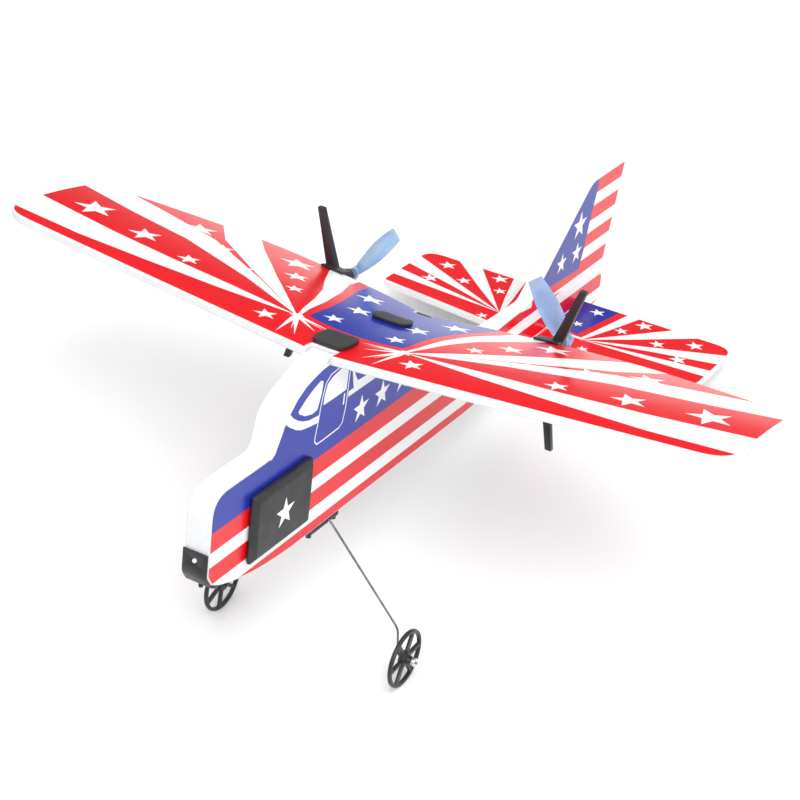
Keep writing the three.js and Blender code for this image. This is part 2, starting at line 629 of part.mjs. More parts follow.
// set the aeroplane down: turn it about X until wheels and tail touch the same plane
const TAIL_REST = { y: 325.1, z: 3.96 }; // the tail's lowest corner
const reachBack = TAIL_REST.y - AXLE.y;
const reachUp = TAIL_REST.z - AXLE.z;
const pitch = Math.atan2(reachUp, reachBack) + Math.asin(WHEEL_RADIUS / Math.hypot(reachBack, reachUp));
airframe.rotation.x = -pitch;
const group = new THREE.Group();
group.add(airframe);
group.updateMatrixWorld(true);
const bounds = new THREE.Box3().setFromObject(group, true);
airframe.position.set(0, -(bounds.min.y + bounds.max.y) / 2, -bounds.min.z);
group.updateMatrixWorld(true);

export default group;
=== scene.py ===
"""Looks for the toy foam aeroplane: printed film, foam, mouldings, propellers, studio."""
import json
import math
import bpy
from mathutils import Matrix, Vector
from mathutils.geometry import delaunay_2d_cdt


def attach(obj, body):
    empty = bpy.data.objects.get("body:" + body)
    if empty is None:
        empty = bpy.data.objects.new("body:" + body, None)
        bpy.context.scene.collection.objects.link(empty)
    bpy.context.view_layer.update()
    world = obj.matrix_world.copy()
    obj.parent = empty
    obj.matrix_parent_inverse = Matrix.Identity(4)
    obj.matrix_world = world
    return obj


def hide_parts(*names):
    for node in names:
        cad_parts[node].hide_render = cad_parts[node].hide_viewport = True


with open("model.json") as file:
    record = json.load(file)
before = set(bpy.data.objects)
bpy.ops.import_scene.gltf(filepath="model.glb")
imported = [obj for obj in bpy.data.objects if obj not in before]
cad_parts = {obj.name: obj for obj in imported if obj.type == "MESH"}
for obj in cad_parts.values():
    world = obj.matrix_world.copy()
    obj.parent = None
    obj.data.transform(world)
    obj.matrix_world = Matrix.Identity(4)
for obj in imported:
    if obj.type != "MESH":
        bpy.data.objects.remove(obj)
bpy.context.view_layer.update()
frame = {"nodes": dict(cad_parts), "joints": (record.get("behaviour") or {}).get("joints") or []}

MM = 0.001
NODES = frame["nodes"]

# ---------- the level frame ----------
# The CAD draws the aeroplane level (nose towards -Y, nose tip at y = 0, belly at z = 0) and then turns
# it nose up about X. The port propeller's joint says how: its axis is the level +Y.
PROP_CENTRE = Vector((48.8, 183.3, 51.4)) * MM
prop_joint = next(j for j in frame["joints"] if j["name"] == "prop_port_spin")
level_y = Vector(prop_joint["axis"]).normalized()
TURN = Matrix.Rotation(math.atan2(level_y.z, level_y.y), 4, "X")
STAND = Matrix.Translation(Vector(prop_joint["pos_m"]) - TURN.to_3x3() @ PROP_CENTRE) @ TURN

# ---------- dimensions shared with the CAD, in mm ----------
WING_THICK = 3.6
TAIL_TOP, TAIL_THICK = 9.9, 3.3
FOAM_HALF, FIN_HALF = 5.0, 3.3
TAPER_FROM, TAPER_TO = 185, 245
HALF_SPAN = 154.6
FILM = 0.12  # how far a film's face stands off the foam


def wing_top(x, y):
    back = y - 72
    out = math.hypot(x, 8) - 8
    return 73.5 - 0.08 * back - 0.0013 * back * back + out * (0.062 + 0.0004 * (y - 115))


def plate_half(y):
    t = min(1, max(0, (y - TAPER_FROM) / (TAPER_TO - TAPER_FROM)))
    t = t * t * (3 - 2 * t)
    return FOAM_HALF + (FIN_HALF - FOAM_HALF) * t


# ---------- colours and material helpers ----------
def linear(code, alpha=1.0):
    """An sRGB hex colour as the linear numbers a shader wants."""
    def one(v):
        return v / 12.92 if v <= 0.04045 else ((v + 0.055) / 1.055) ** 2.4
    return tuple(one(int(code[i:i + 2], 16) / 255) for i in (0, 2, 4)) + (alpha,)


def new_material(name):
    mat = bpy.data.materials.new(name)
    mat.use_nodes = True
    tree = mat.node_tree
    return mat, tree, tree.nodes["Principled BSDF"]


def add(tree, kind, sockets=None, **settings):
    """A node with its settings and its input sockets set; a tuple (node, output) links instead."""
    node = tree.nodes.new(kind)
    for key, value in settings.items():
        setattr(node, key, value)
    for key, value in (sockets or {}).items():
        if isinstance(value, tuple) and len(value) == 2 and hasattr(value[0], "outputs"):
            tree.links.new(value[0].outputs[value[1]], node.inputs[key])
        else:
            node.inputs[key].default_value = value
    return node


def ramp(tree, source, stops):
    node = add(tree, "ShaderNodeValToRGB", {"Fac": source})
    bar = node.color_ramp
    bar.elements[0].position, bar.elements[0].color = stops[0]
    bar.elements[1].position, bar.elements[1].color = stops[-1]
    for place, colour in stops[1:-1]:
        bar.elements.new(place).color = colour
    return node


def grey(v):
    return (v, v, v, 1)


def shade(code, factor):
    r, g, b, a = linear(code)
    return (min(1, r * factor), min(1, g * factor), min(1, b * factor), a)


def foam_material():
    """White closed-cell foam: the eye gets faint moulded beads about 2.5 mm across and a soft skin."""
    mat, tree, bsdf = new_material("foam_beads")
    where = add(tree, "ShaderNodeTexCoord")
    beads = add(tree, "ShaderNodeTexVoronoi", {"Vector": (where, "Object"), "Scale": 420.0},
                feature="DISTANCE_TO_EDGE")
    seams = ramp(tree, (beads, "Distance"), [(0.0, grey(0.0)), (0.09, grey(1.0))])
    cloud = add(tree, "ShaderNodeTexNoise", {"Vector": (where, "Object"), "Scale": 60.0, "Detail": 5.0})
    tint = ramp(tree, (cloud, "Fac"), [(0.3, linear("dcdddf")), (0.7, linear("e6e7e8"))])
    edge = add(tree, "ShaderNodeMix", {"Factor": 0.05, "A": (tint, "Color"), "B": (seams, "Color")},
               data_type="RGBA", blend_type="MULTIPLY")
    tree.links.new(edge.outputs["Result"], bsdf.inputs["Base Color"])
    rough = add(tree, "ShaderNodeMapRange", {"Value": (cloud, "Fac"), "To Min": 0.5, "To Max": 0.66})
    tree.links.new(rough.outputs["Result"], bsdf.inputs["Roughness"])
    grain = add(tree, "ShaderNodeTexNoise", {"Vector": (where, "Object"), "Scale": 1500.0, "Detail": 3.0})
    low = add(tree, "ShaderNodeBump", {"Height": (seams, "Color"), "Strength": 0.12, "Distance": 0.0002})
    fine = add(tree, "ShaderNodeBump", {"Height": (grain, "Fac"), "Strength": 0.1, "Distance": 0.0001,
                                        "Normal": (low, "Normal")})
    tree.links.new(fine.outputs["Normal"], bsdf.inputs["Normal"])
    bsdf.inputs["Subsurface Weight"].default_value = 0.08
    bsdf.inputs["Subsurface Radius"].default_value = (0.003, 0.003, 0.003)
    return mat


def film_material(name, code):
    """Printed gloss film: flat ink under a clear coat, with the foam's beads just telegraphing through."""
    mat, tree, bsdf = new_material(name)
    where = add(tree, "ShaderNodeTexCoord")
    ink = add(tree, "ShaderNodeTexNoise", {"Vector": (where, "Object"), "Scale": 900.0, "Detail": 2.0})
    colour = ramp(tree, (ink, "Fac"), [(0.35, shade(code, 0.965)), (0.65, shade(code, 1.02))])
    tree.links.new(colour.outputs["Color"], bsdf.inputs["Base Color"])
    ripple = add(tree, "ShaderNodeTexNoise", {"Vector": (where, "Object"), "Scale": 45.0, "Detail": 2.0})
    rough = add(tree, "ShaderNodeMapRange", {"Value": (ripple, "Fac"), "To Min": 0.2, "To Max": 0.28})
    tree.links.new(rough.outputs["Result"], bsdf.inputs["Roughness"])
    beads = add(tree, "ShaderNodeTexVoronoi", {"Vector": (where, "Object"), "Scale": 420.0},
                feature="SMOOTH_F1")
    wave = add(tree, "ShaderNodeBump", {"Height": (ripple, "Fac"), "Strength": 0.1, "Distance": 0.0006})
    bead = add(tree, "ShaderNodeBump", {"Height": (beads, "Distance"), "Strength": 0.04, "Distance": 0.0002,
                                        "Normal": (wave, "Normal")})
    tree.links.new(bead.outputs["Normal"], bsdf.inputs["Normal"])
    bsdf.inputs["Specular IOR Level"].default_value = 0.3
    bsdf.inputs["Coat Weight"].default_value = 0.1
    bsdf.inputs["Coat Roughness"].default_value = 0.1
    return mat


def moulded_plastic(name, dark, light, rough, grain=2600.0):
    """Injection-moulded plastic: a fine spark-eroded grain, with slightly paler, smoother worn patches."""
    mat, tree, bsdf = new_material(name)
    where = add(tree, "ShaderNodeTexCoord")
    patch = add(tree, "ShaderNodeTexNoise", {"Vector": (where, "Object"), "Scale": 130.0, "Detail": 4.0})
    tone = ramp(tree, (patch, "Fac"), [(0.35, linear(dark)), (0.72, linear(light))])
    tree.links.new(tone.outputs["Color"], bsdf.inputs["Base Color"])
    gloss = add(tree, "ShaderNodeMapRange", {"Value": (patch, "Fac"), "To Min": rough + 0.06,
                                             "To Max": rough - 0.06})
    tree.links.new(gloss.outputs["Result"], bsdf.inputs["Roughness"])
    pits = add(tree, "ShaderNodeTexNoise", {"Vector": (where, "Object"), "Scale": grain, "Detail": 2.0})
    bump = add(tree, "ShaderNodeBump", {"Height": (pits, "Fac"), "Strength": 0.16, "Distance": 0.0001})
    tree.links.new(bump.outputs["Normal"], bsdf.inputs["Normal"])
    return mat


def metal(name, dark, light, rough, streak, axis_scale):
    """Metal with fine streaks left by drawing or turning."""
    mat, tree, bsdf = new_material(name)
    bsdf.inputs["Metallic"].default_value = 1.0
    where = add(tree, "ShaderNodeTexCoord")
    stretch = add(tree, "ShaderNodeMapping", {"Vector": (where, "Object"), "Scale": axis_scale})
    lines = add(tree, "ShaderNodeTexNoise", {"Vector": (stretch, "Vector"), "Scale": streak, "Detail": 3.0})
    tone = ramp(tree, (lines, "Fac"), [(0.3, linear(dark)), (0.7, linear(light))])
    tree.links.new(tone.outputs["Color"], bsdf.inputs["Base Color"])
    gloss = add(tree, "ShaderNodeMapRange", {"Value": (lines, "Fac"), "To Min": rough,
                                             "To Max": rough + 0.12})
    tree.links.new(gloss.outputs["Result"], bsdf.inputs["Roughness"])
    bump = add(tree, "ShaderNodeBump", {"Height": (lines, "Fac"), "Strength": 0.05, "Distance": 0.0001})
    tree.links.new(bump.outputs["Normal"], bsdf.inputs["Normal"])
    return mat


def clear_blue_material():
    """Translucent pale blue polycarbonate, a little frosted so that the blades stay readable."""
    mat, tree, bsdf = new_material("clear_blue")
    where = add(tree, "ShaderNodeTexCoord")
    flow = add(tree, "ShaderNodeTexNoise", {"Vector": (where, "Object"), "Scale": 90.0, "Detail": 3.0})
    tone = ramp(tree, (flow, "Fac"), [(0.3, linear("8fc0ee")), (0.7, linear("b4d6f4"))])
    tree.links.new(tone.outputs["Color"], bsdf.inputs["Base Color"])
    gloss = add(tree, "ShaderNodeMapRange", {"Value": (flow, "Fac"), "To Min": 0.14, "To Max": 0.24})
    tree.links.new(gloss.outputs["Result"], bsdf.inputs["Roughness"])
    bsdf.inputs["Transmission Weight"].default_value = 0.55
    bsdf.inputs["IOR"].default_value = 1.5
    bsdf.inputs["Alpha"].default_value = 0.82
    return mat


FOAM = foam_material()
RED = film_material("film_red", "e1121c")
BLUE = film_material("film_blue", "1c2f9c")
WHITE = film_material("film_white", "f4f4f4")
BLACK = moulded_plastic("black_moulding", "1a1b1d", "26272a", 0.42)
BLACK_SOFT = moulded_plastic("black_satin", "1d1e20", "2b2c2f", 0.5, 1800.0)
RUBBER = moulded_plastic("lead_insulation", "0e0e0f", "17181a", 0.55)
CLEAR_BLUE = clear_blue_material()
MOTOR_STEEL = metal("motor_can_steel", "8c8f94", "b3b6ba", 0.25, 700.0, (1, 0.05, 1))
WIRE_STEEL = metal("gear_wire_steel", "5f6063", "808286", 0.3, 900.0, (1, 1, 0.05))
CHROME = metal("collar_chrome", "c8cacd", "e4e5e7", 0.08, 500.0, (0.1, 1, 1))
FOIL = metal("cell_foil", "9a9ca0", "b9bbbe", 0.35, 160.0, (1, 1, 1))
BOARD_GREEN = moulded_plastic("board_mask", "0c3f20", "12582d", 0.35)
SOCKET_WHITE = moulded_plastic("socket_nylon", "d9d8d2", "e6e5e0", 0.45)
SWITCH_GREY = moulded_plastic("switch_body_grey", "303235", "3d4043", 0.45)
PRINT_WHITE = moulded_plastic("white_ink", "e8e8e8", "f6f6f6", 0.5)
LENS = film_material("lamp_lens", "e6ecef")

# ---------- outlines ----------


def curve2(a, b, c, steps=8):
    """Points along a quadratic curve from a (left out) to c, pulled towards b."""
    return [tuple((1 - t) ** 2 * a[i] + 2 * t * (1 - t) * b[i] + t * t * c[i] for i in (0, 1))
            for t in ((s + 1) / steps for s in range(steps))]


def trace(start, *moves):
    """A closed outline: each move is a point, or a pair (control, end) of a curve."""
    points = [start]
    for move in moves:
        if isinstance(move[0], tuple):
            points += curve2(points[-1], move[0], move[1])
        else:
            points.append(move)
    if math.dist(points[0], points[-1]) < 1e-6:
        points.pop()
    return points


def resample(points, step):
    """The same closed outline with no side longer than step."""
    out = []
    for i, a in enumerate(points):
        b = points[(i + 1) % len(points)]
        count = max(1, math.ceil(math.dist(a, b) / step))
        out += [(a[0] + (b[0] - a[0]) * k / count, a[1] + (b[1] - a[1]) * k / count) for k in range(count)]
    return out


def area(points):
    return sum(a[0] * b[1] - b[0] * a[1] for a, b in zip(points, points[1:] + points[:1])) / 2


def outward(points):
    """Unit normals of a counter-clockwise outline, away from its inside."""
    out = []
    for i, p in enumerate(points):
        a, b = points[i - 1], points[(i + 1) % len(points)]
        dx, dy = b[0] - a[0], b[1] - a[1]
        size = math.hypot(dx, dy) or 1
        out.append((dy / size, -dx / size))
    return out


def inset(points, by):
    return [(p[0] - n[0] * by, p[1] - n[1] * by) for p, n in zip(points, outward(points))]


def mirror(points):
    return [(-a, b) for a, b in points][::-1]


def inside(point, poly):
    x, y = point
    hit = False
    for (x1, y1), (x2, y2) in zip(poly, poly[1:] + poly[:1]):
        if (y1 > y) != (y2 > y) and x < (x2 - x1) * (y - y1) / (y2 - y1) + x1:
            hit = not hit
    return hit


def star(x, y, radius, tip=-90, waist=0.4):
    """A five-pointed star with one tip in the direction tip, in degrees."""
    out = []
    for i in range(10):
        r = radius if i % 2 == 0 else radius * waist
        a = math.radians(tip + 36 * i)
        out.append((x + r * math.cos(a), y + r * math.sin(a)))
    return out


# ---------- meshes ----------
def make_object(name, verts, faces, materials, indices=None, normals=None, smooth=True):
    mesh = bpy.data.meshes.new(name)
    mesh.from_pydata([tuple(c * MM for c in v) for v in verts], [], faces)
    for mat in materials:
        mesh.materials.append(mat)
    if indices:
        mesh.polygons.foreach_set("material_index", indices)
    mesh.polygons.foreach_set("use_smooth", [smooth] * len(mesh.polygons))
    mesh.update()
    if normals:
        mesh.normals_split_custom_set_from_vertices([Vector(n).normalized() for n in normals])
    obj = bpy.data.objects.new(name, mesh)
    bpy.context.scene.collection.objects.link(obj)
    obj.matrix_world = STAND
    return obj


def tessellate(outline, lines, dots):
    """Triangles inside an outline that keep every line of every polygon in lines as an edge."""
    verts = list(outline)
    edges = [(i, (i + 1) % len(outline)) for i in range(len(outline))]
    for poly in lines:
        start = len(verts)
        verts += poly
        edges += [(start + i, start + (i + 1) % len(poly)) for i in range(len(poly))]
    verts += dots
    out = delaunay_2d_cdt([Vector(v) for v in verts], edges, [], 1, 1e-5)
    return [tuple(v) for v in out[0]], [tuple(f) for f in out[2]]


def grid_dots(outline, step):
    xs = [p[0] for p in outline]
    ys = [p[1] for p in outline]
    dots = []
    shrunk = inset(outline, step * 0.3)
    for i in range(int((max(xs) - min(xs)) / step) + 1):
        for j in range(int((max(ys) - min(ys)) / step) + 1):
            spot = (min(xs) + (i + 0.5) * step, min(ys) + (j + 0.5) * step)
            if inside(spot, shrunk):
                dots.append(spot)
    return dots


class Surface:
    """Places a flat point (a, b) on one side of a foam sheet and knows the normal there."""

    def __init__(self, place):
        self.place = place  # (a, b, side, depth) to x, y, z

    def point(self, a, b, side, depth):
        return self.place(a, b, side, depth)

    def normal(self, a, b, side):
        e = 0.05
        p = Vector(self.place(a, b, side, 0))
        du = Vector(self.place(a + e, b, side, 0)) - p
        dv = Vector(self.place(a, b + e, side, 0)) - p
        n = du.cross(dv).normalized()
        out = Vector(self.place(a, b, side, -1)) - p
        return n if n.dot(out) > 0 else -n


def wing_place(a, b, side, depth):
    z = wing_top(a, b)
    return (a, b, z - depth if side > 0 else z - WING_THICK + depth)


def tail_place(a, b, side, depth):
    return (a, b, TAIL_TOP - depth if side > 0 else TAIL_TOP - TAIL_THICK + depth)


def plate_place(a, b, side, depth):
    return (side * (plate_half(a) - depth), a, b)


WING = Surface(wing_place)
TAIL = Surface(tail_place)
PLATE = Surface(plate_place)


def foam_body(name, outline, surface, holes=(), radius=0.7, grid=8.0, steps=3):
    """A foam sheet with softly rounded edges; a hole is a pocket sunk from side +1."""
    if area(outline) < 0:
        outline = outline[::-1]
    verts, normals, faces = [], [], []
    out_dirs = outward(outline)
    count = len(outline)
    profile = [(+1, math.radians(90 * s / steps)) for s in range(steps + 1)]
    profile += [(-1, math.radians(90 * (1 - s / steps))) for s in range(steps + 1)]
    for side, angle in profile:
        back = radius * (1 - math.sin(angle))
        depth = radius * (1 - math.cos(angle))
        for (a, b), (na, nb) in zip(outline, out_dirs):
            pa, pb = a - na * back, b - nb * back
            verts.append(surface.point(pa, pb, side, depth))
            face_n = surface.normal(pa, pb, side)
            root = Vector(surface.point(pa, pb, side, 0))
            edge_n = (Vector(surface.point(pa + na, pb + nb, side, 0)) - root).normalized()
            normals.append(face_n * math.cos(angle) + edge_n * math.sin(angle))
    rows = len(profile)
    for r in range(rows - 1):
        for i in range(count):
            j = (i + 1) % count
            faces.append((r * count + i, (r + 1) * count + i, (r + 1) * count + j, r * count + j))
    rim = inset(outline, radius)
    for side in (+1, -1):
        flat, tris = tessellate(rim, [list(h) for h in holes] if side > 0 else [], grid_dots(rim, grid))
        base = len(verts)
        for a, b in flat:
            verts.append(surface.point(a, b, side, 0))
            normals.append(surface.normal(a, b, side))
        for tri in tris:
            centre = tuple(sum(flat[i][k] for i in tri) / 3 for k in (0, 1))
            if side > 0 and any(inside(centre, h) for h in holes):
                continue
            order = tri if side > 0 else tri[::-1]
            faces.append(tuple(base + i for i in order))
    return verts, faces, normals


def pocket_walls(verts, faces, normals, hole, surface, deep):
    """Walls and a floor for a pocket sunk from the port side."""
    for i, p in enumerate(hole):
        q = hole[(i + 1) % len(hole)]
        base = len(verts)
        verts += [surface.point(*p, 1, 0), surface.point(*q, 1, 0), surface.point(*q, 1, deep),
                  surface.point(*p, 1, deep)]
        mid = Vector((0, sum(h[0] for h in hole) / len(hole), sum(h[1] for h in hole) / len(hole)))
        edge = Vector((0, (p[0] + q[0]) / 2, (p[1] + q[1]) / 2))
        normals += [mid - edge] * 4
        faces.append((base, base + 1, base + 2, base + 3))
    base = len(verts)
    verts += [surface.point(*p, 1, deep) for p in hole]
    normals += [Vector((1, 0, 0))] * len(hole)
    faces.append(tuple(range(base, base + len(hole))))


def drop_loose(verts, normals, faces):
    """The same mesh without the vertices that no face uses."""
    used = sorted({i for face in faces for i in face})
    number = {old: new for new, old in enumerate(used)}
    faces = [tuple(number[i] for i in face) for face in faces]
    return [verts[i] for i in used], [normals[i] for i in used], faces


def film_skin(name, outline, surface, side, paint, grid=8.0, holes=()):
    """A printed film on one face. paint lists (polygon, material number); the last one over a spot wins."""
    if area(outline) < 0:
        outline = outline[::-1]
    paint = [(resample(p, 6), number) for p, number in paint]
    polys = [p for p, _ in paint]
    flat, tris = tessellate(outline, polys + [list(h) for h in holes], grid_dots(outline, grid))
    verts = [surface.point(a, b, side, -FILM) for a, b in flat]
    normals = [surface.normal(a, b, side) for a, b in flat]
    faces, indices = [], []
    for tri in tris:
        centre = tuple(sum(flat[i][k] for i in tri) / 3 for k in (0, 1))
        if not inside(centre, outline) or any(inside(centre, h) for h in holes):
            continue
        hit = [number for poly, number in paint if inside(centre, poly)]
        p0, p1, p2 = (Vector(verts[i]) for i in tri)
        n = (p1 - p0).cross(p2 - p0)
        faces.append(tri if n.dot(normals[tri[0]]) > 0 else tri[::-1])
        indices.append(hit[-1] if hit else 0)
    verts, normals, faces = drop_loose(verts, normals, faces)
    obj = make_object(name, verts, faces, [WHITE, RED, BLUE], indices, normals)
    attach(obj, "airframe")
    return obj


# ---------- fuselage plate ----------
HOOD, ROOF = 46.8, 72.3
SEAT_FROM, SEAT_TO, SEAT_GAP = 75.8, 151, 0.3  # the wing's seat on the plate
seat = [(y, wing_top(0, y) - WING_THICK - SEAT_GAP)
        for y in (SEAT_FROM + (SEAT_TO - SEAT_FROM) * i / 10 for i in range(11))]
PLATE_OUTLINE = trace(
    (0, 24.4), (0, 37.5), ((0, HOOD), (9.8, HOOD)), (32.8, HOOD), ((36.9, HOOD), (37.8, 50.6)),
    (39, 55.8), ((40.4, 61.6), (46.6, 64.7)), ((56, 69.6), (67, ROOF - 0.8)), ((71.4, ROOF), (75.8, ROOF)),
    *seat, ((178, 42), (196, 34.5)), ((206, 30), (218, 30)), (245.5, 30), ((248.6, 30), (251, 32.2)),
    (294.5, 68.6), ((298.5, 71.9), (303, 72.1)), (332, 72.5), ((333.6, 72.5), (333.4, 70.9)), (324, 20),
    (327.3, 16.5), (327.3, 7), ((327.3, 3.8), (323, 3.6)), ((270, 2.4), (228, 0)), (62, 0),
    ((30, 0), (8, 7.8)), (3, 10.3), (0, 14.8))
POCKET = [(25.7, 11.1), (59.3, 11.1), (59.3, 34.1), (25.7, 34.1)]
POCKET_DEEP = 9.2

fine = resample(PLATE_OUTLINE, 1.6)
verts, faces, normals = foam_body("fuselage", fine, PLATE, holes=(POCKET,), radius=0.6, grid=12.0)
pocket_walls(verts, faces, normals, POCKET, PLATE, POCKET_DEEP)
fuselage = make_object("fuselage", verts, faces, [FOAM], None, normals)
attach(fuselage, "airframe")
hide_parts("fuselage_plate")

# print on the plate's two sides: blue above, stripes below, cockpit graphics and a starred fin
STRIPES = [(24.4, 32.3, 1), (18.5, 24.4, 0), (10.9, 18.5, 1), (5.0, 10.9, 0), (-2, 5.0, 1)]
FIN_STRIPES = [(65, 80, 1), (59, 65, 0), (52, 59, 1), (46, 52, 0), (39.5, 46, 1), (33.5, 39.5, 0),
               (26.6, 33.5, 1)]


def band(low, high, y0, y1):
    return [(y0, low), (y1, low), (y1, high), (y0, high)]


WINDSCREEN_MARGIN = [
    (36.4, 45.9), (38.6, 47.2), (39.8, 49.4), (41.9, 52.8), (44.0, 56.9), (44.6, 58.4), (46.6, 59.8),
    (51.2, 63.9), (56.3, 66.8), (61.6, 68.3), (67.0, 69.5), (73.3, 69.9), (75.5, 73.5), (60, 73.5),
    (34, 66), (30, 47.5)]
QUARTER_WINDOW = [
    (66.3, 65.3), (68.0, 64.8), (68.3, 63.5), (67.8, 59.8), (66.8, 56.8), (65.6, 53.9), (62.2, 53.5),
    (57.0, 54.9), (53.0, 57.3), (52.3, 58.6), (57.1, 61.7), (62.3, 64.1)]
ARC = [(44.0, 56.9), (47.1, 54.4), (52.0, 51.3), (55.6, 49.8), (60.2, 48.9), (66.9, 48.0), (67.4, 51.0),
       (60.9, 51.6), (56.2, 53.0), (52.6, 54.8), (48.9, 57.4), (46.6, 59.8), (44.4, 58.6)]
DOOR = [(79.8, 65.8), (73.5, 65.0), (70.4, 62.8), (68.9, 58.0), (68.1, 54.3), (67.2, 47.8), (66.0, 42.5),
        (66.0, 40.4), (67.6, 38.8), (72.1, 38.7), (83.2, 39.1), (85.5, 40.5), (86.8, 45.9), (87.1, 50.6),
        (87.6, 60.5), (87.6, 66.2)]
DOOR_WINDOW = [(80, 64.6), (74.9, 63.6), (71.7, 62.0), (70.2, 57.9), (69.9, 54.0), (78.3, 53.9),
               (86.0, 54.0), (86.3, 58.9), (86.4, 65)]
HANDLE = [(84.6, 52.8), (85.5, 52.8), (85.3, 48.2), (84.4, 48.2)]
REAR_STRIP = [(87.9, 50.1), (108.8, 50.1), (106.4, 52.4), (88, 52.4)]
REAR_STRIP_RISER = [(88.3, 66), (89.3, 66), (91.6, 58.6), (94.2, 54.6), (104.5, 54.0), (106.6, 52.4),
                    (91.6, 52.4), (90.4, 56.8)]


def stroke(points, width):
    """A closed line of the given width along a closed outline, as an outer and an inner ring."""
    return inset(points, -width / 2), inset(points, width / 2)


door_outer, door_inner = stroke(DOOR if area(DOOR) > 0 else DOOR[::-1], 0.55)
side_paint = [(band(32.3, 80, -5, 250), 2)]
side_paint += [(band(low, high, -5, 340), n) for low, high, n in STRIPES]
side_paint += [(WINDSCREEN_MARGIN, 0), (ARC, 0), (QUARTER_WINDOW, 0), (door_outer, 0), (door_inner, 2),
               (DOOR_WINDOW, 0), (HANDLE, 0), (REAR_STRIP_RISER, 0), (REAR_STRIP, 0)]
side_paint += [(star(y, 40.8, 5.9, 90), 0) for y in (99, 114.9, 130.7)]
side_paint.append((star(146.2, 40.8, 5.2, 90), 0))
fin_area = [(252, 27.6), (263.8, 26.6), (284.8, 24), (324, 19.8), (345, 19.8), (345, 90), (240, 90),
            (240, 28.9)]
FIN_BLUE = [(250.6, 32.4), (297, 29.9), (299.8, 39.3), (301.6, 51.7), (304.7, 64.4), (305.7, 71.9),
            (303, 71.7), (299, 71.4), (295.4, 69), (287, 62), (272, 49.1), (259, 38.2)]
side_paint += [(fin_area, 0)]
side_paint += [([(max(a, 250), b) for a, b in band(low, high, 250, 345)], n)
               for low, high, n in FIN_STRIPES]
side_paint += [(FIN_BLUE, 2)]
side_paint += [(star(291.1, 53.4, 6.9, 90), 0), (star(291.9, 39.8, 5.2, 90), 0),
               (star(276.5, 39.6, 5.1, 90), 0)]
film_outline = inset(resample(PLATE_OUTLINE, 1.6) if area(PLATE_OUTLINE) > 0
                     else resample(PLATE_OUTLINE, 1.6)[::-1], 0.75)
for side, word in ((1, "port"), (-1, "starboard")):
    film_skin(f"side_film_{word}", film_outline, PLATE, side, side_paint, grid=14.0,
              holes=(POCKET,) if side > 0 else ())

# ---------- wing ----------
half_wing = trace((0, 70), (142, 82.8), ((HALF_SPAN, 83.9), (HALF_SPAN, 96.4)), (HALF_SPAN, 138.5),
                  ((149, 146.5), (139.5, 151.5)), (103, 161.3), ((86, 165.8), (68, 166.4)),
                  ((38, 166.6), (12, 158.8)), ((7, 157.3), (3.6, 154.8)), (3.6, 151.5), (0, 151.5))
NOTCH_HALF, NOTCH_BACK = 5.3, 76.1
notched = [(0, NOTCH_BACK), (NOTCH_HALF, NOTCH_BACK), (NOTCH_HALF, 70.48)] + half_wing[1:]
WING_OUTLINE = notched + mirror(notched)[1:-1]
wing_fine = resample(WING_OUTLINE, 2.2)
verts, faces, normals = foam_body("wing", wing_fine, WING, radius=0.8, grid=7.0)
wing = make_object("wing", verts, faces, [FOAM], None, normals)
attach(wing, "airframe")
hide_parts("main_wing")

V = (23.3, 94.2)  # where the rays meet
OUT = 175
front_red = [(-OUT, 60), (OUT, 60), (OUT, 92.6), (154.8, 90.6), (120.5, 88.3), (88.7, 89.2), (55.7, 90.9), V,
             (20.4, 97.0), (14.1, 95.2), (2.2, 94.2), (-2.2, 94.2), (-14.1, 95.2), (-20.4, 97.0),
             (-V[0], V[1]), (-55.7, 90.9), (-88.7, 89.2), (-120.5, 88.3), (-154.8, 90.6), (-OUT, 92.6)]
ray_a = [V, (54, 97.4), (85, 99.6), (114.5, 102.6), (154.8, 109), (OUT, 112.2), (OUT, 146.2), (154.0, 137.1),
         (123.9, 129.9), (94.1, 124.6), (56.5, 110.4)]
ray_b = [V, (53.9, 115.4), (88.9, 137.1), (118.1, 145.6), (139.8, 151), (160, 156), (120, 180), (106, 175),
         (102, 163), (87.2, 142.2), (62.4, 122.3)]
ray_c = [V, (50.8, 124), (73, 149.8), (85, 166), (92, 176), (52, 176), (48.6, 161), (40.3, 143), (34, 131),
         (29.2, 116.5), (26.2, 104)]
border = [(22.6, 96.2), (24.0, 104), (25.2, 118.6), (28.9, 137), (34.2, 153), (36.2, 170), (26, 170),
          (0, 170), (-26, 170), (-36.2, 170), (-34.2, 153), (-28.9, 137), (-25.2, 118.6), (-24.0, 104),
          (-22.6, 96.2),
          (0, 93)]
blue = [(20.4, 98.4), (20.9, 115), (22.9, 129), (27.6, 148), (31.3, 170), (-31.3, 170), (-27.6, 148),
        (-22.9, 129), (-20.9, 115), (-20.4, 98.4), (-14.1, 96.6), (-5, 95.6), (5, 95.6), (14.1, 96.6)]
SPIKES = [((6.0, 91.6), 1.7), ((10.4, 86.2), 1.9), ((14.0, 77.4), 2.1), ((20.2, 74.2), 2.2),
          ((8.3, 90.0), 0.9), ((17.6, 80.6), 1.0)]


def spike(tip, width):
    """A thin ray from the burst's centre, widest near the centre."""
    dx, dy = tip[0] - V[0], tip[1] - V[1]
    size = math.hypot(dx, dy)
    nx, ny = -dy / size * width / 2, dx / size * width / 2
    waist = (V[0] + dx * 0.16, V[1] + dy * 0.16)
    return [V, (waist[0] + nx, waist[1] + ny), tip, (waist[0] - nx, waist[1] - ny)]


